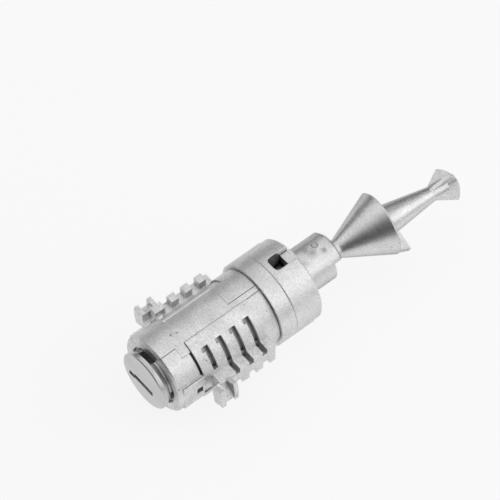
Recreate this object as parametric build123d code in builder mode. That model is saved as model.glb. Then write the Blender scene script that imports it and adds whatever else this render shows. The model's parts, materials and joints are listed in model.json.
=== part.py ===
from build123d import *
import math
import os

# Vehicle door lock cylinder with a floating hub and a tilting tailpiece.
# The lock axis is Y: the key enters at the face, y = 0, and the tail points to +Y.
# Z is up and the two combs reach out along X. Sizes are in millimetres and degrees.
# A bearing is the angle round the lock axis, from +Z towards +X.

# Clearances
run_gap = 0.05
seat_gap = 0.05
slide_gap = 0.12
# How far a cut runs past a face, and how deep a feature is rooted in its wall
past = 1.0
sink = 1.0

# Stations along the axis
rim_y = 4.0
nose_end = 13.0
panel_start = 13.8
panel_end = 38.6
tongue_y = 33.1
barrel_end = 44.0
collar_gap = 0.1
carrier_length = 5.9
cup_length = 10.7
hub_stand = 15.0
pivot_inset = 5.2

# Barrel and shells
barrel_r = 13.7
shell_wall = 1.5
panel_rise = 0.55
rim_bore_r = 10.3
rim_depth = 3.2
rim_edge = 0.6
seam_bearing = 14.0
seam_half = 0.4
tongue_bearing = 5.5
nose_low_bearing = 125.0
key_tongue_front = 10.2
key_tongue_bearing = 29.5
rib_bearing = -32.5
rib_half = 1.7
rib_rise = 0.5
low_wall_drop = 0.6

# Flange and window of the nose covers
flange_bearing = 64.5
flange_half = 0.7
flange_rise = 0.3
flange_inset = 0.2
cheek_inset = 0.25
cheek_top = 5.6
cheek_low = -4.9
cheek_front = 5.6
window_front = 10.6
window_length = 2.3
window_low = -1.1
window_height = 2.6
window_depth = 3.4

# Comb shells
slot_pitch = 5.47
slot_count = 4
slot_rear = 19.4
slot_width = 1.8
slot_top = 32.5
slot_foot = 68.0
serif_reach = 0.8
serif_sweep = 6.5
serif_land = 0.5
bend_bearing = 74.0
shelf_reach = 17.25
shelf_front = 16.8
shelf_rear = 39.1
channel_root_depth = 3.3
channel_end_depth = 2.1
web_low = -2.3
tooth_drop = 2.9
tooth_inner = 14.4
tooth_lag = 1.05
tooth_width = 2.75
first_tooth_start = 19.3
low_wall_start = 100.0

# Hook at the front of each comb
hook_inner = 17.2
hook_reach = 22.0
hook_peak_x = 21.2
hook_peak = 5.6
hook_low = -2.3
hook_low_x = 18.0
hook_heel = 0.9
hook_shoulder = 1.5
hook_plate = 1.5
hook_front = 13.9
hook_rear = 20.4
ramp_end_x = 21.7
ramp_end = -1.0
ramp_hollow = 0.4
left_ramp_lift = 1.6
hook_web_x = 19.9
hook_web_low = -3.1
hook_web_root = -3.6

# Boss on each comb shell
boss_bearing = 116.0
boss_y = 15.5
boss_r = 2.5
boss_wall_rise = 0.2
boss_rise = 0.9
boss_crown_r = 1.6

# Plug, cap and keyway
plug_r = 8.6
cap_r = 10.25
cap_length = 1.8
cap_wall = 0.5
cap_edge = 0.3
cap_face_r = 9.3
cap_shoulder = 0.1
keyway_x = -1.25
keyway_z = -2.15
keyway_length = 11.6
keyway_height = 2.8
keyway_end = 40.5
key_step_length = 2.6
key_step_height = 0.7
key_step_drop = 0.5
neck_mid_r = 9.3
neck_rear_r = 9.5
neck_mid_y = 3.4
flange_start = 5.2
plug_flange_length = 1.9
tail_square_r = 5.6
tail_square_flat = 4.2

# Shutter behind the key slot
pocket_start = 1.6
pocket_end = 7.3
pocket_top = 1.5
pocket_margin = 0.3
shutter_wall = 0.7
shutter_pin_y = 2.6
shutter_pin_z = 0.25
shutter_pin_r = 0.5
shutter_eye_r = 0.95
shutter_spring_room = 2.0
shutter_spring_r = 0.75
shutter_wire = 0.2
shutter_turns = 2
shutter_spring_sides = 8
shutter_low = -3.65
pin_seat = 0.9
neck_window_left = -5.2
neck_window_right = 1.1
neck_window_front = 2.0
neck_window_length = 2.2
side_window_x = 7.0
side_window_half = 1.6
side_window_front = 3.4
side_window_length = 1.7

# Wafers
wafer_pitch = slot_pitch / 2
wafer_first = slot_rear - slot_width / 2 - wafer_pitch
wafer_count = 2 * slot_count
wafer_wall = 1.1
wafer_play = 0.08
wafer_foot = 0.1
wafer_travel = 0.8
wafer_top = 2.7
wafer_tab_x = 4.3
wafer_tab_length = 1.1
wafer_tab_height = 1.4
wafer_follower = 0.9
follower_width = 1.3
follower_offset = 1.5
groove_depth = 1.2
groove_inner = 4.0
groove_margin = 0.5
groove_land = 1.9
spring_wire = 0.2
spring_mean_r = 0.45
spring_start = -1.0
spring_turns = 3
spring_sides = 6

# Carrier, cup and clip
collar_r = 15.0
cup_step = 0.3
cup_step_length = 7.3
ring_groove = 0.2
edge_chamfer = 0.7
clip_recess_r = 7.3
clip_recess = 1.2
clip_r = 6.9
clip_wall = 0.8
clip_groove_r = 4.9
clip_inset = 0.3
clip_mouth = 6.0
return_recess_in = 9.0
return_recess_out = 12.7
return_recess = 4.0
return_wire = 0.8
return_turns = 2
return_sides = 16

# Cup bore, slot and hub
cup_bore_r = 8.5
cup_lip = 3.3
hub_r = 7.8
hub_flange = 1.9
hub_flange_inset = 0.1
slot_bearing = -2.2
u_slot_width = 5.6
u_slot_land = 2.0
u_slot_corner = 1.6
lug_top = 12.3
lug_lead = 3.1
lug_length = 3.9
lug_gap = 0.15
hub_spring_pocket_r = 4.4
hub_spring_depth = 8.0
float_wire = 0.7
float_mean_r = 3.4
float_turns = 4
float_sides = 8
hub_step = 3.5
hub_step_start = 57.0
hub_step_sweep = 118.0
hub_socket_r = 4.6
hub_socket_depth = 10.1
hub_mouth_r = 5.7
hub_mouth = 2.4
hub_edge = 1.0

# Tailpiece, tilted about its pin; s is the distance along its own axis
pin_bearing = -12.5
pin_r = 0.75
pin_inset = 0.15
tail_tilt = 5.6
tail_bearing = 77.5
head_r = 4.0
head_half = 1.3
head_end = 3.5
head_end_r = 2.3
tail_neck_r = 3.3
tail_neck_end = 7.6
cone_r = 11.1
cone_s = 24.2
cone_rim = 0.6
shaft_r = 5.45
thin_r = 2.6
thin_s = 43.5
core_end = 49.6
fan_end = 53.5
fan_root = 44.4
flat_fan_half = 6.35
flat_fan_corner = 50.2
flat_fan_wall = 1.8
upright_fan_half = 4.9
upright_fan_corner = 50.7
upright_fan_wall = 1.45
barb_reach = 12.0
barb_s = 27.8
barb_wall = 2.8
barb_bearing = 107.0


def at(radius, bearing):
    """Point of a cross-section, as (X, Z), at a radius and a bearing."""
    angle = math.radians(bearing)
    return (radius * math.sin(angle), radius * math.cos(angle))


def station(y):
    """Cross-section plane at y, X to the right and Z up. Negative amounts extrude to +Y."""
    return Plane.XZ.offset(-y)


def outward(bearing):
    """Unit vector away from the lock axis at a bearing."""
    x, z = at(1, bearing)
    return Vector(x, 0, z)


def ring_sector(inner, outer, start, end):
    """Face between two radii and two bearings."""
    middle = (start + end) / 2
    with BuildSketch() as sector:
        with BuildLine():
            ThreePointArc(at(outer, start), at(outer, middle), at(outer, end))
            Line(at(outer, end), at(inner, end))
            ThreePointArc(at(inner, end), at(inner, middle), at(inner, start))
            Line(at(inner, start), at(outer, start))
        make_face()
    return sector.sketch


def block_face(x0, x1, z0, z1):
    """Rectangle between two X values and two Z values."""
    with BuildSketch() as face:
        with Locations(((x0 + x1) / 2, (z0 + z1) / 2)):
            Rectangle(x1 - x0, z1 - z0)
    return face.sketch


def outline(points):
    """Face inside a closed line through the points, such as (radius, y) for a revolve."""
    with BuildSketch() as face:
        with BuildLine():
            Polyline(*points, close=True)
        make_face()
    return face.sketch


def coil(start, direction, mean_r, length, turns, wire, sides):
    """Coil of square wire, bent in straight pieces, that winds from a start point."""
    axis = Vector(*direction)
    across = Vector(0, 0, 1)
    third = axis.cross(across)
    steps = turns * sides
    corners = []
    for step in range(steps + 1):
        angle = 2 * math.pi * step / sides
        spoke = across * math.cos(angle) + third * math.sin(angle)
        corners.append(Vector(*start) + axis * (length * step / steps) + spoke * mean_r)
    with BuildPart() as spring:
        with BuildLine():
            Polyline(*corners)
        with BuildSketch(Plane(origin=corners[0], z_dir=corners[1] - corners[0])):
            Rectangle(wire, wire)
        sweep(transition=Transition.RIGHT)
    return spring.part


def finish(builder, name):
    """Label a finished piece and write its STEP file."""
    builder.part.label = name
    export_step(builder.part, f"parts/{name}.step")


os.makedirs("parts", exist_ok=True)

bore_r = plug_r + run_gap
core_r = barrel_r - shell_wall
shell_in = core_r + seat_gap
panel_r = barrel_r + panel_rise
root_r = core_r - sink / 2
cheek_x = barrel_r - cheek_inset
front_end = panel_start - seat_gap
collar_y = barrel_end + collar_gap
cup_y = collar_y + carrier_length
cup_end = cup_y + cup_length
cup_step_y = cup_y + cup_step_length
hub_end = cup_end + hub_stand
pivot_y = hub_end - pivot_inset
cup_step_r = collar_r - cup_step
rib_edge = rib_bearing + rib_half + seam_half
keyway_left = keyway_x - keyway_length / 2
keyway_right = keyway_x + keyway_length / 2
keyway_top = keyway_z + keyway_height / 2
keyway_low = keyway_z - keyway_height / 2
wafer_low = keyway_top + wafer_foot
wafer_slot = wafer_wall + 2 * wafer_play
shelf_top = panel_r * math.cos(math.radians(bend_bearing))


# Barrel housing

with BuildPart() as barrel_housing:
    with BuildSketch(Plane.XY):
        add(outline([
            (rim_bore_r, rim_y),
            (core_r, rim_y),
            (core_r, barrel_end),
            (bore_r, barrel_end),
            (bore_r, rim_y + rim_depth),
            (rim_bore_r, rim_y + rim_depth),
        ]))
    revolve(axis=Axis.Y)
    # Long straps, above and below, between the two comb shells
    for turn in (0, 180):
        seam = turn + seam_bearing - seam_half
        with BuildSketch(station(rim_y)):
            add(ring_sector(root_r, barrel_r, turn + rib_edge, seam))
        extrude(amount=-(tongue_y - seat_gap - rim_y))
        with BuildSketch(station(rim_y)):
            add(ring_sector(root_r, barrel_r, turn + nose_low_bearing - 180, seam))
        extrude(amount=-(front_end - rim_y))
        with BuildSketch(station(tongue_y - sink)):
            add(ring_sector(root_r, barrel_r, turn + tongue_bearing + seam_half, seam))
        extrude(amount=-(barrel_end - tongue_y + sink))
        # Short tongue that keys into each nose cover
        with BuildSketch(station(key_tongue_front)):
            add(ring_sector(root_r, barrel_r, seam - seam_half,
                            turn + key_tongue_bearing - seam_half))
        extrude(amount=-(front_end - key_tongue_front))
    # Locking grooves that the wafers spring into
    for side in (-1, 1):
        groove = sorted((side * groove_inner, side * (bore_r + groove_depth)))
        with BuildSketch(station(wafer_first - groove_land)):
            add(block_face(groove[0], groove[1], wafer_low - groove_margin,
                           wafer_top + groove_margin))
        extrude(amount=-(wafer_pitch * (wafer_count - 1) + 2 * groove_land), mode=Mode.SUBTRACT)
    # Blind pockets behind the nose windows
    for turn in (0, 180):
        with BuildSketch(station(window_front).rotated((0, 0, turn))):
            add(block_face(cheek_x - window_depth, cheek_x, window_low,
                           window_low + window_height))
        extrude(amount=-window_length, mode=Mode.SUBTRACT)
    rim_arcs = barrel_housing.edges().filter_by(GeomType.CIRCLE).group_by(Axis.Y)[0]
    chamfer(rim_arcs.sort_by(SortBy.RADIUS)[-2:], length=rim_edge)
finish(barrel_housing, "barrel_housing")


# Nose covers, one on each side of the barrel

with BuildPart() as nose_cover_right:
    with BuildSketch(station(rim_y)):
        add(ring_sector(shell_in, barrel_r, seam_bearing + seam_half,
                        nose_low_bearing - seam_half))
    extrude(amount=-(nose_end - rim_y))
    front_arcs = nose_cover_right.edges().filter_by(GeomType.CIRCLE).group_by(Axis.Y)[0]
    chamfer(front_arcs.sort_by(SortBy.RADIUS)[-1], length=rim_edge)
    with BuildSketch(station(nose_end - sink)):
        add(ring_sector(shell_in, barrel_r, flange_bearing, nose_low_bearing - seam_half))
    extrude(amount=-(front_end - nose_end + sink))
    with BuildSketch(station(cheek_front)):
        add(block_face(core_r, cheek_x, cheek_low, cheek_top))
    extrude(amount=-(front_end - cheek_front))
    # Raised line where the smooth cover meets the flat cheek
    with BuildSketch(station(rim_y + flange_inset)):
        add(ring_sector(root_r, barrel_r + flange_rise,
                        flange_bearing - flange_half, flange_bearing + flange_half))
    extrude(amount=-(nose_end - rim_y - flange_inset))
    with BuildSketch(station(rim_y - past)):
        Circle(shell_in)
    extrude(amount=-(front_end - rim_y + 2 * past), mode=Mode.SUBTRACT)
    with BuildSketch(station(key_tongue_front - seat_gap)):
        add(ring_sector(root_r, barrel_r + past, seam_bearing - seam_half,
                        key_tongue_bearing))
    extrude(amount=-(nose_end - key_tongue_front + past), mode=Mode.SUBTRACT)
    with BuildSketch(station(window_front)):
        add(block_face(root_r, cheek_x + past, window_low, window_low + window_height))
    extrude(amount=-window_length, mode=Mode.SUBTRACT)

with BuildPart() as nose_cover_left:
    add(nose_cover_right.part.rotate(Axis.Y, 180))

finish(nose_cover_right, "nose_cover_right")
finish(nose_cover_left, "nose_cover_left")


# Comb shells: the left one is turned half round, and its comb stands one wafer further forward

def hook_plate_face():
    """Outline of a hook plate, with its peak above and its heel cut off below."""
    return outline([
        (hook_inner, shelf_top),
        (hook_peak_x, hook_peak),
        (hook_reach, hook_shoulder),
        (hook_reach, hook_low),
        (hook_low_x, hook_low),
        (hook_inner, hook_heel),
    ])


def comb_shell(shift, ramp_lift):
    """Shell with its comb and hook, for a shift of the slots along Y and a lift of the ramp."""
    rib_turn = 180 + rib_bearing
    slots = [slot_rear + shift + step * slot_pitch for step in range(slot_count)]
    with BuildPart() as shell:
        with BuildSketch(station(panel_start)):
            add(ring_sector(shell_in, panel_r, seam_bearing + seam_half, bend_bearing))
        extrude(amount=-(panel_end - panel_start))
        with BuildSketch(station(panel_start)):
            add(ring_sector(shell_in, barrel_r, bend_bearing - sink, low_wall_start + sink))
        extrude(amount=-(panel_end - panel_start))
        with BuildSketch(station(panel_start)):
            add(ring_sector(shell_in, barrel_r - low_wall_drop, low_wall_start,
                            rib_turn + rib_half))
        extrude(amount=-(panel_end - panel_start))
        with BuildSketch(station(panel_end - sink)):
            add(ring_sector(shell_in, barrel_r, seam_bearing + seam_half, rib_turn + rib_half))
        extrude(amount=-(barrel_end - panel_end + sink))
        with BuildSketch(station(tongue_y)):
            add(ring_sector(shell_in, barrel_r, rib_turn, 180 + tongue_bearing - seam_half))
        extrude(amount=-(barrel_end - tongue_y))
        # Raised rib along the lower edge of the shell
        with BuildSketch(station(panel_start)):
            add(ring_sector(shell_in, barrel_r + rib_rise, rib_turn - rib_half,
                            rib_turn + rib_half))
        extrude(amount=-(tongue_y - panel_start))
        # Shelf of the comb, with the teeth that hang below it
        with BuildSketch(station(shelf_front)):
            add(block_face(core_r, shelf_reach, web_low, shelf_top))
        extrude(amount=-(shelf_rear - shelf_front))
        teeth = [(slot_y + tooth_lag, slot_y + tooth_lag + tooth_width) for slot_y in slots[1:]]
        first_end = slots[1] + tooth_lag + tooth_width - slot_pitch
        teeth.append((first_tooth_start + shift, first_end))
        for tooth_start, tooth_end in teeth:
            with BuildSketch(station(tooth_start)):
                add(block_face(tooth_inner, shelf_reach, web_low - tooth_drop, web_low + sink))
            extrude(amount=-(min(tooth_end, shelf_rear) - tooth_start))
        with BuildSketch(station(shelf_front - past)):
            Circle(shell_in)
        extrude(amount=-(shelf_rear - shelf_front + 2 * past), mode=Mode.SUBTRACT)
        # The "1"-shaped slots, and the channels that carry three of them out over the shelf
        for step, slot_y in enumerate(slots):
            slot_front = slot_y - slot_width
            foot = slot_foot if step == 0 else bend_bearing + seam_half
            with BuildSketch(station(slot_front)):
                add(ring_sector(root_r, panel_r + past, slot_top, foot))
            extrude(amount=-slot_width, mode=Mode.SUBTRACT)
            if slot_front - serif_reach > panel_start + serif_land:
                with BuildSketch(station(slot_front - serif_reach)):
                    add(ring_sector(root_r, panel_r + past, slot_top, slot_top + serif_sweep))
                extrude(amount=-(serif_reach + slot_width / 2), mode=Mode.SUBTRACT)
            if step > 0:
                with BuildSketch(station(slot_front)):
                    add(outline([
                        (barrel_r - sink, shelf_top - channel_root_depth),
                        (barrel_r, shelf_top - channel_root_depth),
                        (shelf_reach, shelf_top - channel_end_depth),
                        (shelf_reach + past, shelf_top - channel_end_depth),
                        (shelf_reach + past, shelf_top + past),
                        (barrel_r - sink, shelf_top + past),
                    ]))
                extrude(amount=-slot_width, mode=Mode.SUBTRACT)
        # Hook: two plates with a ramp between them, on a web that hangs below
        for plate_y in (hook_front, hook_rear - hook_plate):
            with BuildSketch(station(plate_y)):
                add(hook_plate_face())
            extrude(amount=-hook_plate)
        with BuildSketch(station(hook_front + seat_gap)):
            with BuildLine():
                SagittaArc((hook_inner, shelf_top), (ramp_end_x, ramp_end + ramp_lift), ramp_hollow)
                Polyline((ramp_end_x, ramp_end + ramp_lift),
                         (hook_web_x, hook_web_low + ramp_lift),
                         (hook_low_x, hook_web_root + ramp_lift), (hook_inner, hook_heel),
                         (hook_inner, shelf_top))
            make_face()
        extrude(amount=-(hook_rear - hook_front - 2 * seat_gap))
        with BuildSketch(station(shelf_front)):
            add(block_face(shelf_reach - sink, hook_low_x, hook_heel, shelf_top))
        extrude(amount=-(hook_rear - shelf_front - seat_gap))
        # Domed boss on the lower wall
        boss_out = outward(boss_bearing)
        boss_root = boss_out * (core_r + sink / 2) + Vector(0, boss_y, 0)
        boss_plane = Plane(origin=boss_root, x_dir=(0, 1, 0), z_dir=boss_out)
        boss_height = barrel_r + boss_wall_rise - core_r - sink / 2
        with BuildSketch(boss_plane):
            Circle(boss_r)
        extrude(amount=boss_height)
        with BuildSketch(boss_plane.offset(boss_height)):
            Circle(boss_r)
        with BuildSketch(boss_plane.offset(boss_height + boss_rise - boss_wall_rise)):
            Circle(boss_crown_r)
        loft()
        with BuildSketch(station(panel_start - 2 * boss_r)):
            Circle(collar_r + boss_r)
        extrude(amount=-2 * boss_r, mode=Mode.SUBTRACT)
    return shell.part


with BuildPart() as comb_shell_right:
    add(comb_shell(0, 0))

with BuildPart() as comb_shell_left:
    add(comb_shell(-wafer_pitch, left_ramp_lift).rotate(Axis.Y, 180))

finish(comb_shell_right, "comb_shell_right")
finish(comb_shell_left, "comb_shell_left")


# Plug

def wafer_side(index):
    """Wafers push left and right in turn."""
    return -1 if index % 2 == 0 else 1


def span(side, start, end):
    """The two X values, mirrored to the given side and put in order."""
    return sorted((side * start, side * end))


tail_y = barrel_end - seat_gap
tail_end = cup_y - clip_inset
clip_y = cup_y - clip_recess + slide_gap
pocket_left = keyway_left - pocket_margin
pocket_right = keyway_right + pocket_margin
pin_left = pocket_left - pin_seat
pin_right = pocket_right + pin_seat

with BuildPart() as plug:
    with BuildSketch(Plane.XY):
        add(outline([
            (0, cap_wall),
            (cap_r - cap_wall, cap_wall),
            (cap_r - cap_wall, cap_length),
            (neck_mid_r, neck_mid_y),
            (neck_rear_r, flange_start),
            (rim_bore_r - run_gap, flange_start),
            (rim_bore_r - run_gap, flange_start + plug_flange_length),
            (plug_r, flange_start + plug_flange_length),
            (plug_r, tail_y),
            (0, tail_y),
        ]))
    revolve(axis=Axis.Y)
    with BuildSketch(station(tail_y - sink)):
        Circle(tail_square_r)
        add(block_face(-tail_square_r, tail_square_r, -tail_square_flat, tail_square_flat),
            mode=Mode.INTERSECT)
    extrude(amount=-(tail_end - tail_y + sink))
    # Groove for the clip
    with BuildSketch(station(clip_y)):
        Circle(tail_square_r + past)
        Circle(clip_groove_r, mode=Mode.SUBTRACT)
    extrude(amount=-(clip_wall + slide_gap), mode=Mode.SUBTRACT)
    # Keyway
    with BuildSketch(station(0)):
        add(block_face(keyway_left, keyway_right, keyway_low, keyway_top))
    extrude(amount=-keyway_end, mode=Mode.SUBTRACT)
    # Shutter pocket, its pin hole and the windows in the neck
    with BuildSketch(station(pocket_start)):
        add(block_face(pocket_left, pocket_right, keyway_low - pocket_margin, pocket_top))
    extrude(amount=-(pocket_end - pocket_start), mode=Mode.SUBTRACT)
    with BuildSketch(Plane.YZ.offset(pin_left)):
        with Locations((shutter_pin_y, shutter_pin_z)):
            Circle(shutter_pin_r)
    extrude(amount=pin_right - pin_left, mode=Mode.SUBTRACT)
    with BuildSketch(station(neck_window_front)):
        add(block_face(neck_window_left, neck_window_right, pocket_top - pocket_margin, cap_r))
    extrude(amount=-neck_window_length, mode=Mode.SUBTRACT)
    with BuildSketch(station(side_window_front)):
        add(block_face(side_window_x, cap_r, -side_window_half, side_window_half))
    extrude(amount=-side_window_length, mode=Mode.SUBTRACT)
    # Wafer slots, each with a pocket for its spring
    for index in range(wafer_count):
        side = wafer_side(index)
        slot_y = wafer_first - wafer_slot / 2 + index * wafer_pitch
        spring_span = span(side, spring_start - wafer_play, wafer_tab_x + wafer_tab_length + wafer_play)
        with BuildSketch(station(slot_y)):
            add(block_face(-cap_r, cap_r, keyway_top - slide_gap, wafer_top + wafer_play))
            add(block_face(spring_span[0], spring_span[1], wafer_top,
                           wafer_top + wafer_tab_height + slide_gap))
        extrude(amount=-wafer_slot, mode=Mode.SUBTRACT)
finish(plug, "plug")

with BuildPart() as face_cap:
    # Flat face with a rolled edge
    with BuildSketch(Plane.XY):
        add(outline([
            (0, 0),
            (cap_face_r, 0),
            (cap_r - cap_edge, cap_shoulder),
            (cap_r, cap_shoulder + cap_edge),
            (cap_r, cap_length),
            (cap_r - cap_wall, cap_length),
            (cap_r - cap_wall, cap_wall),
            (0, cap_wall),
        ]))
    revolve(axis=Axis.Y)
    # Key slot with a step at its left end
    step_x = keyway_left + key_step_length
    with BuildSketch(station(-past)):
        add(outline([
            (keyway_left, keyway_low),
            (step_x, keyway_low),
            (step_x, keyway_low + key_step_drop),
            (keyway_right, keyway_low + key_step_drop),
            (keyway_right, keyway_top),
            (step_x, keyway_top),
            (step_x, keyway_top - key_step_height),
            (keyway_left, keyway_top - key_step_height),
        ]))
    extrude(amount=-(cap_wall + 2 * past), mode=Mode.SUBTRACT)
finish(face_cap, "face_cap")


# Shutter, its pin and its spring

shutter_left = pocket_left + slide_gap
shutter_right = pocket_right - slide_gap
eye_right = shutter_right - shutter_spring_room
flap_front = shutter_pin_y - shutter_eye_r

with BuildPart() as shutter_pin:
    with BuildSketch(Plane.YZ.offset(pin_left)):
        with Locations((shutter_pin_y, shutter_pin_z)):
            Circle(shutter_pin_r)
    extrude(amount=pin_right - pin_left)
finish(shutter_pin, "shutter_pin")

with BuildPart() as keyway_shutter:
    with BuildSketch(Plane.YZ.offset(shutter_left)):
        with Locations((shutter_pin_y, shutter_pin_z)):
            Circle(shutter_eye_r)
        add(block_face(flap_front, flap_front + shutter_wall, shutter_low, shutter_pin_z))
    extrude(amount=eye_right - shutter_left)
    with BuildSketch(Plane.YZ.offset(eye_right - run_gap)):
        add(block_face(flap_front, flap_front + shutter_wall, shutter_low,
                       shutter_pin_z - shutter_eye_r - slide_gap))
    extrude(amount=shutter_right - eye_right + run_gap)
    with BuildSketch(Plane.YZ.offset(shutter_left)):
        with Locations((shutter_pin_y, shutter_pin_z)):
            Circle(shutter_pin_r + run_gap)
    extrude(amount=shutter_right - shutter_left, mode=Mode.SUBTRACT)
finish(keyway_shutter, "keyway_shutter")

with BuildPart() as shutter_spring:
    spring_x = eye_right + slide_gap + shutter_wire
    spring_length = shutter_spring_room - slide_gap - 2 * shutter_wire
    add(coil((spring_x, shutter_pin_y, shutter_pin_z), (1, 0, 0), shutter_spring_r,
             spring_length, shutter_turns, shutter_wire, shutter_spring_sides))
finish(shutter_spring, "shutter_spring")


# Wafers and their springs

for index in range(wafer_count):
    side = wafer_side(index)
    wafer_y = wafer_first + index * wafer_pitch
    end_r = plug_r - run_gap
    with BuildPart() as wafer:
        with BuildSketch(station(wafer_y - wafer_wall / 2)):
            Circle(end_r)
            with Locations((side * (wafer_travel + run_gap), 0)):
                Circle(end_r, mode=Mode.INTERSECT)
            add(block_face(-plug_r, plug_r, wafer_low, wafer_top), mode=Mode.INTERSECT)
            tab_span = span(side, wafer_tab_x, wafer_tab_x + wafer_tab_length)
            add(block_face(tab_span[0], tab_span[1], wafer_low, wafer_top + wafer_tab_height))
            finger_x = keyway_x + side * follower_offset
            add(block_face(finger_x - follower_width / 2, finger_x + follower_width / 2,
                           keyway_top - wafer_follower, wafer_top))
        extrude(amount=-wafer_wall)
    finish(wafer, f"wafer_{index + 1}")
    with BuildPart() as wafer_spring:
        spring_length = wafer_tab_x - spring_start - 2 * spring_wire
        add(coil((side * (spring_start + spring_wire), wafer_y, wafer_top + wafer_tab_height / 2),
                 (side, 0, 0), spring_mean_r, spring_length, spring_turns, spring_wire,
                 spring_sides))
    finish(wafer_spring, f"wafer_spring_{index + 1}")


# Drive carrier, clip, return spring and collar cup

with BuildPart() as drive_carrier:
    with BuildSketch(Plane.XY):
        add(outline([
            (0, collar_y),
            (return_recess_in, collar_y),
            (return_recess_in, collar_y + return_recess),
            (return_recess_out, collar_y + return_recess),
            (return_recess_out, collar_y),
            (collar_r, collar_y),
            (collar_r, cup_y - ring_groove),
            (collar_r - ring_groove, cup_y),
            (clip_recess_r, cup_y),
            (clip_recess_r, cup_y - clip_recess),
            (0, cup_y - clip_recess),
        ]))
    revolve(axis=Axis.Y)
    with BuildSketch(station(collar_y)):
        Circle(tail_square_r + run_gap)
        add(block_face(-collar_r, collar_r, -tail_square_flat - run_gap,
                       tail_square_flat + run_gap), mode=Mode.INTERSECT)
    extrude(amount=-carrier_length, mode=Mode.SUBTRACT)
finish(drive_carrier, "drive_carrier")

with BuildPart() as return_spring:
    spring_y = barrel_end + return_wire
    spring_r = (return_recess_in + return_recess_out) / 2
    add(coil((0, spring_y, 0), (0, 1, 0), spring_r,
             collar_y + return_recess - spring_y - return_wire, return_turns, return_wire,
             return_sides))
finish(return_spring, "return_spring")

with BuildPart() as plug_clip:
    with BuildSketch(station(clip_y)):
        Circle(clip_r)
        Circle(clip_groove_r + run_gap, mode=Mode.SUBTRACT)
        add(block_face(-clip_mouth / 2, clip_mouth / 2, -clip_r - past, 0), mode=Mode.SUBTRACT)
    extrude(amount=-clip_wall)
finish(plug_clip, "plug_clip")

lip_start = cup_end - cup_lip
with BuildPart() as collar_cup:
    with BuildSketch(Plane.XY):
        add(outline([
            (cup_bore_r, cup_y),
            (collar_r - ring_groove, cup_y),
            (collar_r, cup_y + ring_groove),
            (collar_r, cup_step_y),
            (cup_step_r, cup_step_y),
            (cup_step_r, cup_end - edge_chamfer),
            (cup_step_r - edge_chamfer, cup_end),
            (hub_r + run_gap, cup_end),
            (hub_r + run_gap, lip_start),
            (cup_bore_r, lip_start),
        ]))
    revolve(axis=Axis.Y)
    # Slot for the hub's lug
    slot_out = outward(slot_bearing)
    slot_plane = Plane(origin=(0, 0, 0), x_dir=(slot_out.Z, 0, -slot_out.X), z_dir=slot_out)
    u_slot_front = cup_y + u_slot_land
    u_slot_end = cup_end + 2 * u_slot_corner
    with BuildSketch(slot_plane):
        with Locations((0, (u_slot_front + u_slot_end) / 2)):
            RectangleRounded(u_slot_width, u_slot_end - u_slot_front, u_slot_corner)
    extrude(amount=collar_r + past, mode=Mode.SUBTRACT)
finish(collar_cup, "collar_cup")


# Coupling hub, its spring and the tail's pin

hub_lead = lip_start - hub_flange_inset
pocket_floor = hub_lead - hub_flange + hub_spring_depth
hub_socket_start = hub_end - hub_socket_depth
lug_front = cup_end - lug_lead
pin_plane = Plane(origin=(0, pivot_y, 0), x_dir=(0, 1, 0), z_dir=outward(pin_bearing))
with BuildPart() as coupling_hub:
    with BuildSketch(Plane.XY):
        add(outline([
            (hub_spring_pocket_r, hub_lead - hub_flange),
            (cup_bore_r - slide_gap, hub_lead - hub_flange),
            (cup_bore_r - slide_gap, hub_lead),
            (hub_r, hub_lead),
            (hub_r, hub_end - hub_edge),
            (hub_r - hub_edge, hub_end),
            (hub_mouth_r, hub_end),
            (hub_socket_r, hub_end - hub_mouth),
            (hub_socket_r, hub_socket_start),
            (0, hub_socket_start),
            (0, pocket_floor),
            (hub_spring_pocket_r, pocket_floor),
        ]))
    revolve(axis=Axis.Y)
    with BuildSketch(station(hub_end - hub_step)):
        add(ring_sector(hub_socket_r - run_gap, hub_r + past, hub_step_start,
                        hub_step_start + hub_step_sweep))
    extrude(amount=-(hub_step + past), mode=Mode.SUBTRACT)
    # Lug that stands in the cup's slot
    with BuildSketch(slot_plane.offset(hub_r - sink)):
        with Locations((0, lug_front + lug_length / 2)):
            Rectangle(u_slot_width - 2 * lug_gap, lug_length)
    extrude(amount=lug_top - hub_r + sink)
    # Cross hole for the tail's pin
    with BuildSketch(pin_plane):
        Circle(pin_r)
    extrude(amount=hub_r + past, both=True, mode=Mode.SUBTRACT)
finish(coupling_hub, "coupling_hub")

with BuildPart() as float_spring:
    add(coil((0, tail_end + float_wire, 0), (0, 1, 0), float_mean_r,
             pocket_floor - tail_end - 2 * float_wire, float_turns, float_wire, float_sides))
finish(float_spring, "float_spring")

with BuildPart() as tail_pin:
    with BuildSketch(pin_plane):
        Circle(pin_r)
    extrude(amount=hub_r - pin_inset, both=True)
finish(tail_pin, "tail_pin")


# Tailpiece, turned about its own tilted axis

lean = math.radians(tail_tilt)
lean_x, lean_z = at(math.sin(lean), tail_bearing)
tail_axis = Vector(lean_x, math.cos(lean), lean_z)


def along_tail(side):
    """Plane through the tail's axis: x runs to the given side, y along the axis."""
    across = (side - tail_axis * side.dot(tail_axis)).normalized()
    return Plane(origin=(0, pivot_y, 0), x_dir=across, z_dir=across.cross(tail_axis))


flat_plane = along_tail(Vector(1, 0, 0))
upright_plane = along_tail(flat_plane.z_dir)

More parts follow.
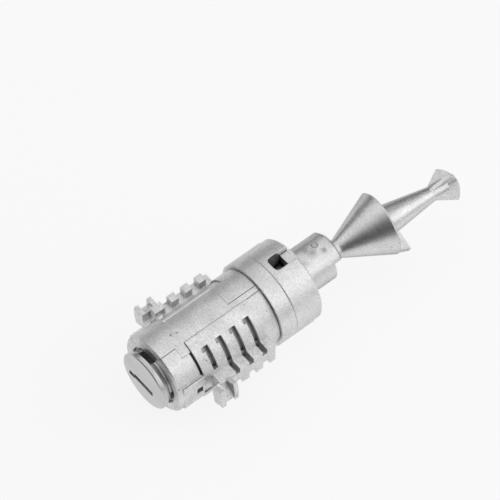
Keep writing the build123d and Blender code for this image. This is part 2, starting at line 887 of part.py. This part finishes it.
with BuildPart() as tailpiece:
    with BuildSketch(flat_plane):
        add(outline([
            (0, -head_end),
            (head_end_r, -head_end),
            (head_r, -head_half),
            (head_r, head_half),
            (tail_neck_r, head_end),
            (tail_neck_r, tail_neck_end),
            (cone_r, cone_s),
            (cone_r - cone_rim, cone_s + cone_rim),
            (shaft_r, cone_s + cone_rim),
            (thin_r, thin_s),
            (thin_r, core_end),
            (0, core_end),
        ]))
    revolve(axis=Axis(origin=(0, pivot_y, 0), direction=tail_axis))
    # Fish tail: a flat fan with a crowned end, crossed by a narrower upright one
    for fan_plane, half, corner, wall in (
        (flat_plane, flat_fan_half, flat_fan_corner, flat_fan_wall),
        (upright_plane, upright_fan_half, upright_fan_corner, upright_fan_wall),
    ):
        with BuildSketch(fan_plane):
            with BuildLine():
                Polyline((half, corner), (thin_r, fan_root), (-thin_r, fan_root), (-half, corner))
                ThreePointArc((-half, corner), (0, fan_end), (half, corner))
            make_face()
        extrude(amount=wall / 2, both=True)
    # Barb that stands out behind the cone's rim
    with BuildSketch(along_tail(outward(barb_bearing))):
        add(outline([
            (tail_neck_r, (tail_neck_end + cone_s) / 2),
            (cone_r - cone_rim, cone_s - cone_rim),
            (barb_reach, barb_s),
            (tail_neck_r, barb_s),
        ]))
    extrude(amount=barb_wall / 2, both=True)
    # Hole for the pin
    with BuildSketch(pin_plane):
        Circle(pin_r + run_gap)
    extrude(amount=head_r + past, both=True, mode=Mode.SUBTRACT)
finish(tailpiece, "tailpiece")
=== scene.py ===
import json
import math

import bpy
from mathutils import Matrix, Vector


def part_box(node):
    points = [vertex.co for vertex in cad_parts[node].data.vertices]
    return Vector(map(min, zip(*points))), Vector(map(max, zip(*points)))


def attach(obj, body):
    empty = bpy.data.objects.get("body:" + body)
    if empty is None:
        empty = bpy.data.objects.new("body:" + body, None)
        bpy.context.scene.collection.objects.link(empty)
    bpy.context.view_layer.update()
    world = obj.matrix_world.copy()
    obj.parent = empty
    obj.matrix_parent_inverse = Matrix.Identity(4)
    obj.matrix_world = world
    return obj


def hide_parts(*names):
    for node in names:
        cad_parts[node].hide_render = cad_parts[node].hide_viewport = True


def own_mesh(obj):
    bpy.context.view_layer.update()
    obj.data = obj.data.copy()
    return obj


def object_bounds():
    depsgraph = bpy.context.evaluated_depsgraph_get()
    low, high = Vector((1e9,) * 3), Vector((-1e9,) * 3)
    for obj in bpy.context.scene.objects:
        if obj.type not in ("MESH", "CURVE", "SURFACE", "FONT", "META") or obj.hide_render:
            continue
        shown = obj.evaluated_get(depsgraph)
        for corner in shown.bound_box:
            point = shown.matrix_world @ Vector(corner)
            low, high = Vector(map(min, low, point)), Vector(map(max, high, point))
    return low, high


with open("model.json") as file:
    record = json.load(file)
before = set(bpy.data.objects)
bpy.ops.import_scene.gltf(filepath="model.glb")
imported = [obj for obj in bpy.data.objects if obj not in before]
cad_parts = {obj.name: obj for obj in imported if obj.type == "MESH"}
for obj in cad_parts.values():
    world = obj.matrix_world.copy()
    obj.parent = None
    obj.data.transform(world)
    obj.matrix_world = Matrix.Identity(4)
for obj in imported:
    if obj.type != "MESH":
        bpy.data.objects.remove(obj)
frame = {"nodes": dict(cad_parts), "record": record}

# Vehicle door lock cylinder. Metres, in the CAD frame: +Y runs from the face to the tail along the
# lock's axis, +Z is up. The places and reaches given to the looks are in millimetres in that frame,
# and each CAD node's own frame is the same one.

cad_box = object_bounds()
nodes = frame["nodes"]
MM = 0.001


# Camera, matched to the photograph

AZIMUTH = math.radians(50.577)
ELEVATION = math.radians(57.527)
EYE = (33.198 * MM, 41.088 * MM, 1588.4 * MM)
LENS = 367.23
SENSOR = 36.0

right = Vector((math.cos(AZIMUTH), math.sin(AZIMUTH), 0))
back = Vector((math.sin(AZIMUTH) * math.cos(ELEVATION), -math.cos(AZIMUTH) * math.cos(ELEVATION),
               math.sin(ELEVATION)))
up = back.cross(right)


def seen(x, y, z):
    """A point given along the camera's right, up and back directions, in the CAD frame."""
    return right * x + up * y + back * z


camera = bpy.data.objects.new("camera", bpy.data.cameras.new("camera"))
camera.data.lens = LENS
camera.data.sensor_width = SENSOR
camera.data.clip_start = 0.05
camera.data.clip_end = 20
turned = Matrix((right, up, back)).transposed().to_4x4()
camera.matrix_world = Matrix.Translation(seen(*EYE)) @ turned
bpy.context.collection.objects.link(camera)
bpy.context.scene.camera = camera


# Looks

class Look:
    """A procedural material under construction, with short calls for its nodes. The stops of a
    ramp are pairs of a place and a level."""

    def __init__(self, name):
        self.material = bpy.data.materials.new(name)
        self.material.use_nodes = True
        self.tree = self.material.node_tree
        self.tree.nodes.clear()
        self.where = self.add("ShaderNodeTexCoord").outputs["Object"]
        self.out = self.add("ShaderNodeOutputMaterial")

    def add(self, kind, inputs=None, **settings):
        """A node with its settings, and its inputs linked or set."""
        node = self.tree.nodes.new(kind)
        for key, value in settings.items():
            setattr(node, key, value)
        for key, value in (inputs or {}).items():
            self.feed(node.inputs[key], value)
        return node

    def feed(self, socket, value):
        """Link the value to the socket if it is one, and set it there otherwise."""
        if isinstance(value, bpy.types.NodeSocket):
            self.tree.links.new(value, socket)
        else:
            socket.default_value = value

    def stretched(self, scale):
        return self.add("ShaderNodeMapping", {"Vector": self.where, "Scale": scale}).outputs[0]

    def noise(self, scale, detail=4.0, rough=0.6, where=None):
        node = self.add("ShaderNodeTexNoise", {"Vector": where or self.where, "Scale": scale,
                                               "Detail": detail, "Roughness": rough})
        return node.outputs["Fac"]

    def cells(self, scale):
        """Distance to the nearest of many scattered points."""
        node = self.add("ShaderNodeTexVoronoi", {"Vector": self.where, "Scale": scale})
        return node.outputs["Distance"]

    def ramp(self, value, *stops):
        node = self.add("ShaderNodeValToRGB", {"Fac": value})
        points = node.color_ramp.elements
        while len(points) < len(stops):
            points.new(0.5)
        for point, (place, level) in zip(points, stops):
            point.position = place
            point.color = (level, level, level, 1)
        return node.outputs["Color"]

    def math(self, operation, a, b):
        return self.add("ShaderNodeMath", {0: a, 1: b}, operation=operation).outputs[0]

    def share(self, value, full):
        """A length in metres as a share of a full length in millimetres."""
        return self.math("MULTIPLY", value, 1 / (full * MM))

    def vector_math(self, operation, output, *values):
        node = self.add("ShaderNodeVectorMath", dict(enumerate(values)), operation=operation)
        return node.outputs[output]

    def mix(self, factor, a, b, blend="MIX"):
        node = self.add("ShaderNodeMix", data_type="RGBA", blend_type=blend)
        for index, value in ((0, factor), (6, a), (7, b)):
            self.feed(node.inputs[index], value)
        return node.outputs[2]

    def bump(self, height, distance, strength, normal=None):
        inputs = {"Height": height, "Distance": distance, "Strength": strength}
        if normal is not None:
            inputs["Normal"] = normal
        return self.add("ShaderNodeBump", inputs).outputs[0]

    def soft_edge(self, radius):
        """The normal, rounded over sharp edges."""
        return self.add("ShaderNodeBevel", {"Radius": radius}, samples=4).outputs[0]

    def edge_mask(self, radius):
        """1 on sharp edges within the radius, 0 on faces."""
        plain = self.add("ShaderNodeNewGeometry").outputs["Normal"]
        same = self.vector_math("DOT_PRODUCT", "Value", plain, self.soft_edge(radius))
        return self.ramp(same, (0.86, 1.0), (0.995, 0.0))

    def openness(self, reach):
        """Low in corners and slots, 1 in the open."""
        return self.add("ShaderNodeAmbientOcclusion", {"Distance": reach}, samples=8).outputs["AO"]

    def near(self, point, wobble):
        """Distance in metres from a point; wobble makes the outline of a mark uneven."""
        reach = self.vector_math("DISTANCE", "Value", self.where, Vector(point) * MM)
        uneven = self.math("MULTIPLY", self.noise(900, 3.0, 0.6), wobble * MM)
        return self.math("ADD", reach, uneven)

    def off_axis(self):
        """Place across the lock's axis, and the distance from the axis."""
        across = self.vector_math("MULTIPLY", "Vector", self.where, (1, 0, 1))
        return across, self.vector_math("LENGTH", "Value", across)

    def hollow(self, radius, front, rear):
        """1 nearer to the lock's axis than the radius, between two stations along it."""
        reach = self.off_axis()[1]
        inner = self.ramp(self.share(reach, 2 * radius), (0.48, 1.0), (0.502, 0.0))
        along = self.add("ShaderNodeSeparateXYZ", {0: self.where}).outputs["Y"]
        start = front / rear
        between = self.ramp(self.share(along, rear),
                            (start, 0.0), (start + 0.02, 1.0), (0.98, 1.0), (1.0, 0.0))
        return self.math("MULTIPLY", inner, between)

    def raised_line(self, x, z, width, radius):
        """1 within the width of a line along the lock's axis, where the face stands further out
        than the radius."""
        across, reach = self.off_axis()
        aside = self.vector_math("DISTANCE", "Value", across, Vector((x, 0, z)) * MM)
        close = self.ramp(self.share(aside, 2 * width), (0.42, 1.0), (0.5, 0.0))
        proud = self.ramp(self.share(reach, 2 * radius), (0.5, 0.0), (0.502, 1.0))
        return self.math("MULTIPLY", close, proud)

    def shade(self, color, roughness, metallic, normal, **extra):
        inputs = {"Base Color": color, "Roughness": roughness, "Metallic": metallic,
                  "Normal": normal, **extra}
        shader = self.add("ShaderNodeBsdfPrincipled", inputs)
        self.tree.links.new(shader.outputs[0], self.out.inputs[0])
        return self.material


def rgb(level):
    return (level, level, level, 1)


# Ramps of painted shade over the openness: the first for open corners, the second darker, for
# slots.
PAINTED_CORNER_SHADE = ((0.15, 0.2), (0.72, 1.0))
PAINTED_SLOT_SHADE = ((0.3, 0.02), (0.58, 1.0))
# Share of the dark tone used for soiling, pits and the painted shade of sunken floors.
SOIL_AND_SHADE_LEVEL = 0.3
WORN_EDGE = 0.24 * MM


def cast_metal(name, light, dark, roughness, grain, depth=1.0, corners=PAINTED_CORNER_SHADE, tint=0.75,
               marks=None, bevel=0.2, sunk_shade=None, lit_rib=None):
    """Bare die-cast zinc between a light and a dark tone: bright grain, cloudy patches, pits and
    light edges. Painted shade darkens the corners by a ramp over the openness within the depth.
    Marks give a mask of soiling. A hollow, given as radius and stations, gets painted shade on the
    sunken floors nearer the axis. A raised line, given as place, width and radius, gets a painted
    highlight."""
    look = Look(name)
    fine = look.noise(4200, 2.0, 0.6)
    speckle = look.noise(1900, 5.0, 0.75)
    cloud = look.noise(170, 4.0, 0.6)
    worn = look.ramp(cloud, (0.42, 0.0), (0.66, 1.0))
    tone = look.mix(look.ramp(speckle, (0.4, 0.0), (0.57, 1.0)), rgb(dark), rgb(light))
    tone = look.mix(look.math("MULTIPLY", worn, 0.45), tone, rgb(dark * 0.95))
    pepper = look.ramp(fine, (0.3, 0.55), (0.43, 0.0))
    tone = look.mix(pepper, tone, rgb(dark * 0.55))

    pits = look.ramp(look.cells(520), (0.12, 1.0), (0.26, 0.0))
    pitted = look.ramp(look.noise(330, 2.0, 0.5), (0.59, 0.0), (0.64, 1.0))
    pits = look.math("MULTIPLY", pits, pitted)
    tone = look.mix(look.math("MULTIPLY", pits, 0.65), tone, rgb(dark * SOIL_AND_SHADE_LEVEL))
    if marks:
        tone = look.mix(marks(look), tone, rgb(dark * SOIL_AND_SHADE_LEVEL))
    # Painted shade: the sunken floors nearer the axis than the radius are darkened.
    if sunk_shade:
        sunken_shade = look.math("MULTIPLY", look.hollow(*sunk_shade), 0.5)
        tone = look.mix(sunken_shade, tone, rgb(dark * SOIL_AND_SHADE_LEVEL))

    openness = look.openness(depth * MM)
    broken = look.ramp(look.noise(800, 3.0, 0.6), (0.35, 0.4), (0.6, 1.0))
    edges = look.math("MULTIPLY", look.edge_mask(WORN_EDGE), broken)
    edges = look.math("MULTIPLY", edges, look.ramp(openness, (0.72, 0.0), (0.93, 0.85)))
    tone = look.mix(edges, tone, rgb(0.95))
    # Painted shade: the tone is darkened in corners and slots by a ramp over the openness.
    shadow = look.ramp(openness, *corners)
    # Painted highlight: the raised rib is lightened and kept out of the painted shade.
    if lit_rib:
        line = look.raised_line(*lit_rib)
        tone = look.mix(look.math("MULTIPLY", line, 0.85), tone, rgb(0.97))
        shadow = look.math("MAXIMUM", shadow, line)
    tone = look.mix(1.0, tone, shadow, "MULTIPLY")

    rough = look.math("ADD", look.ramp(speckle, (0.3, roughness - 0.07), (0.72, roughness + 0.07)),
                      look.math("MULTIPLY", worn, 0.05))
    height = look.math("ADD", look.math("MULTIPLY", fine, 0.5), speckle)
    height = look.math("SUBTRACT", height, look.math("MULTIPLY", pits, 1.4))
    normal = look.bump(height, grain * MM, 0.9, look.soft_edge(bevel * MM))
    return look.shade(tone, rough, 0.96, normal, **{"Specular Tint": rgb(tint)})


def turned_metal(name, light, dark, roughness, pitch, shade_floor=0.35):
    """Turned metal: fine rings round the lock's axis over a satin grain. The corners go no darker
    than the shade floor."""
    look = Look(name)
    rings = look.noise(1.0, 3.0, 0.6, look.stretched((60, pitch, 60)))
    speckle = look.noise(1700, 4.0, 0.7)
    cloud = look.noise(260, 3.0, 0.6)
    tone = look.mix(look.ramp(rings, (0.35, 0.0), (0.65, 1.0)), rgb(dark), rgb(light))
    tone = look.mix(look.ramp(cloud, (0.45, 0.0), (0.7, 0.35)), tone, rgb(dark * 0.88))
    openness = look.openness(1.2 * MM)
    edges = look.math("MULTIPLY", look.edge_mask(0.22 * MM),
                      look.ramp(openness, (0.72, 0.0), (0.93, 0.7)))
    tone = look.mix(edges, tone, rgb(0.92))
    # Painted shade: the tone is darkened in corners by a ramp over the openness, no lower than the
    # shade floor.
    shadow = look.ramp(openness, (0.0, shade_floor), (0.45, 1.0))
    tone = look.mix(1.0, tone, shadow, "MULTIPLY")
    rough = look.ramp(speckle, (0.3, roughness - 0.06), (0.7, roughness + 0.06))
    height = look.math("ADD", rings, look.math("MULTIPLY", speckle, 0.6))
    normal = look.bump(height, 0.025 * MM, 0.5, look.soft_edge(0.15 * MM))
    return look.shade(tone, rough, 1.0, normal)


def wire_metal(name, level):
    """Drawn wire: dark and smooth, with faint streaks."""
    look = Look(name)
    streaks = look.noise(900, 2.0, 0.5)
    tone = look.mix(look.ramp(streaks, (0.3, 0.0), (0.7, 1.0)), rgb(level * 0.7), rgb(level))
    normal = look.bump(streaks, 0.01 * MM, 0.3)
    rough = look.ramp(streaks, (0.3, 0.25), (0.7, 0.4))
    return look.shade(tone, rough, 1.0, normal)


BRASS_DEEP = (0.52, 0.36, 0.14, 1)
BRASS_LIGHT = (0.8, 0.62, 0.3, 1)
BRASS_EDGE = (0.92, 0.8, 0.52, 1)


def stamped_brass(name):
    """Stamped sheet: mottled, with light edges."""
    look = Look(name)
    mottle = look.noise(700, 4.0, 0.65)
    tone = look.mix(look.ramp(mottle, (0.3, 0.0), (0.7, 1.0)), BRASS_DEEP, BRASS_LIGHT)
    edges = look.math("MULTIPLY", look.edge_mask(0.1 * MM), 0.5)
    tone = look.mix(edges, tone, BRASS_EDGE)
    normal = look.bump(mottle, 0.01 * MM, 0.4)
    rough = look.ramp(mottle, (0.3, 0.28), (0.7, 0.45))
    return look.shade(tone, rough, 1.0, normal)


PIN_MARK = (-1.29, 70.3, 7.69)
SMUDGES = (  # place, radius, depth of tone
    ((-1.5, 66.6, 7.66), 1.4, 0.5),
    ((1.95, 71.5, 7.55), 1.2, 0.75),
    ((0.5, 67.8, 7.78), 1.7, 0.45),
    ((2.2, 63.5, 7.5), 1.3, 0.4),
)


def hub_marks(look):
    """An ejector pin's ring and a few smudges on top of the coupling hub."""
    marks = look.ramp(look.share(look.near(PIN_MARK, 0.35), 3),
                      (0.05, 0.7), (0.12, 0.0), (0.28, 0.1), (0.38, 1.0), (0.5, 0.0))
    for place, radius, depth in SMUDGES:
        spot = look.ramp(look.share(look.near(place, 1.6), 3 * radius), (0.25, depth), (0.6, 0.0))
        marks = look.math("MAXIMUM", marks, spot)
    return marks


# Radius and front and rear stations of the barrel's sunken floors, darkened as painted shade.
BARREL_SUNK_SHADE = (13.2, 12.4, 41.5)
# Place, width and radius of the raised rib that gets a painted highlight.
RIB_HIGHLIGHT = (-7.5, 11.85, 0.95, 13.72)

CAST = cast_metal("cast_zinc", 0.93, 0.66, 0.38, 0.1, sunk_shade=BARREL_SUNK_SHADE, lit_rib=RIB_HIGHLIGHT)
CARRIER = cast_metal("cast_zinc_carrier", 0.91, 0.68, 0.38, 0.08, 3.5, PAINTED_SLOT_SHADE, bevel=0.45)
HUB = cast_metal("cast_zinc_hub", 0.86, 0.66, 0.34, 0.07, 5.0, PAINTED_SLOT_SHADE, 0.5, hub_marks)
TAIL = cast_metal("cast_zinc_tail", 0.85, 0.64, 0.31, 0.06, 1.2, tint=0.5)
TURNED = turned_metal("turned_zinc", 0.86, 0.76, 0.36, 1600, 0.6)
CAP = turned_metal("satin_steel", 0.68, 0.56, 0.36, 400)
WIRE = wire_metal("spring_wire", 0.4)
BRASS = stamped_brass("stamped_brass")

FINISHES = {
    "plug": TURNED,
    "coupling_hub": HUB,
    "drive_carrier": CARRIER,
    "collar_cup": CARRIER,
    "face_cap": CAP,
    "keyway_shutter": CAP,
    "tail_pin": CAP,
    "tailpiece": TAIL,
    "shutter_pin": WIRE,
    "shutter_spring": WIRE,
    "plug_clip": WIRE,
    "return_spring": WIRE,
    "float_spring": WIRE,
}
for name, node in nodes.items():
    if name.startswith("wafer_spring"):
        finish = WIRE
    elif name.startswith("wafer"):
        finish = BRASS
    else:
        finish = FINISHES.get(name, CAST)
    for slot in node.material_slots:
        slot.link = "OBJECT"
        slot.material = finish


# Round-wire springs in place of the square ones of the solids

SIDES = 8
STEPS = 20
X, Y = 0, 1
LOW, HIGH = 0, 1
WAFERS = 8


def carrier_body(node):
    """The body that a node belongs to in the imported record."""
    bodies = frame["record"]["behaviour"]["bodies"]
    return next(body for body, held in bodies.items() if node in held)


def round_spring(node, along, wire, turns, joint=None, fixed=LOW):
    """Coil of round wire in a CAD spring's own box, wound about the axis with the given index and
    with its turns closer at the ends. With a joint it gets a mesh of its own and the point at its
    fixed end is found, but nothing makes it shorten."""
    low, high = (Vector(corner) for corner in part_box(node))
    middle = (low + high) / 2
    across = [index for index in range(3) if index != along]
    radius = min(high[index] - low[index] for index in across) / 2 - wire / 2
    start, end = low[along] + wire / 2, high[along] - wire / 2
    spine = Vector([float(index == along) for index in range(3)])
    corners, faces = [], []
    for step in range(turns * STEPS + 1):
        share = step / (turns * STEPS)
        turn = 2 * math.pi * turns * share
        point = middle.copy()
        point[across[0]] += radius * math.cos(turn)
        point[across[1]] += radius * math.sin(turn)
        point[along] = start + (end - start) * share * share * (3 - 2 * share)
        outward = point - middle
        outward[along] = 0
        outward.normalize()
        for side in range(SIDES):
            angle = 2 * math.pi * side / SIDES
            corners.append(point + wire / 2 * (math.cos(angle) * outward + math.sin(angle) * spine))
        if step:
            here, there = step * SIDES, (step - 1) * SIDES
            faces += [(there + side, there + (side + 1) % SIDES, here + (side + 1) % SIDES,
                       here + side) for side in range(SIDES)]
    faces += [tuple(range(SIDES)), tuple(len(corners) - SIDES + side for side in range(SIDES))]
    mesh = bpy.data.meshes.new(f"{node}_wire")
    mesh.from_pydata(corners, [], faces)
    mesh.polygons.foreach_set("use_smooth", [True] * len(faces))
    mesh.materials.append(WIRE)
    piece = bpy.data.objects.new(f"{node}_wire", mesh)
    bpy.context.collection.objects.link(piece)
    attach(piece, carrier_body(node))
    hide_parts(node)
    if joint:
        anchor = middle.copy()
        anchor[along] = (low, high)[fixed][along]
        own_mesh(piece)


round_spring("float_spring", Y, 0.7 * MM, 5, "hub_float", LOW)
round_spring("return_spring", Y, 0.8 * MM, 3)
round_spring("shutter_spring", X, 0.28 * MM, 4)
for number in range(1, WAFERS + 1):
    fixed = HIGH if number % 2 else LOW
    round_spring(f"wafer_spring_{number}", X, 0.2 * MM, 7, f"wafer_{number}_slide", fixed)


# Floor: it keeps the shadow, and is nearly white to the camera, in reflections and through glass

FLOOR_GAP = 0.4 * MM
FLOOR_HALF = 3.0
FLOOR_COLOR = 0.9
GLOW_SHARE = 0.85

floor_mesh = bpy.data.meshes.new("floor")
floor_mesh.from_pydata([(-FLOOR_HALF, -FLOOR_HALF, 0), (FLOOR_HALF, -FLOOR_HALF, 0),
                        (FLOOR_HALF, FLOOR_HALF, 0), (-FLOOR_HALF, FLOOR_HALF, 0)], [],
                       [(0, 1, 2, 3)])
floor = bpy.data.objects.new("floor", floor_mesh)
floor.location.z = cad_box[0].z - FLOOR_GAP
bpy.context.collection.objects.link(floor)

pale = Look("pale_floor")
rays = pale.add("ShaderNodeLightPath").outputs
straight = pale.math("MAXIMUM", rays["Is Camera Ray"], rays["Is Glossy Ray"])
straight = pale.math("MAXIMUM", straight, rays["Is Transmission Ray"])
matt = pale.add("ShaderNodeBsdfDiffuse", {"Color": rgb(FLOOR_COLOR)})
glow = pale.add("ShaderNodeEmission", {"Color": rgb(1), "Strength": 1.0})
blend = pale.add("ShaderNodeMixShader", {0: pale.math("MULTIPLY", straight, GLOW_SHARE),
                                         1: matt.outputs[0], 2: glow.outputs[0]})
pale.tree.links.new(blend.outputs[0], pale.out.inputs[0])
floor.data.materials.append(pale.material)


# World and lights: a weak even world and three soft cards

WORLD_STRENGTH = 0.07
CENTRE = Vector((0, 55 * MM, 0))

world = bpy.data.worlds.new("studio")
world.use_nodes = True
sky = world.node_tree.nodes["Background"].inputs
sky["Color"].default_value = rgb(1)
sky["Strength"].default_value = WORLD_STRENGTH
bpy.context.scene.world = world
bpy.context.scene.view_settings.view_transform = "Standard"


def card(name, bearing, height, distance, size, radiance):
    """Soft light panel: bearing from +X towards +Y and height above the floor in degrees,
    size as (width, height) in metres, aimed at the lock."""
    turn, rise = math.radians(bearing), math.radians(height)
    lamp = bpy.data.objects.new(name, bpy.data.lights.new(name, "AREA"))
    lamp.data.shape = "RECTANGLE"
    lamp.data.size, lamp.data.size_y = size
    lamp.data.energy = radiance * math.pi * size[0] * size[1]
    lamp.location = CENTRE + distance * Vector((math.cos(rise) * math.cos(turn),
                                                math.cos(rise) * math.sin(turn), math.sin(rise)))
    lamp.rotation_mode = "QUATERNION"
    lamp.rotation_quaternion = (CENTRE - lamp.location).to_track_quat("-Z", "Y")
    bpy.context.collection.objects.link(lamp)


card("overhead", 192, 66, 1.2, (1.9, 1.85), 0.9)
card("right", 35, 39, 1.1, (1.3, 1.3), 1.12)
card("far", 78, 18, 1.1, (1.3, 0.66), 1.25)


bpy.context.view_layer.update()
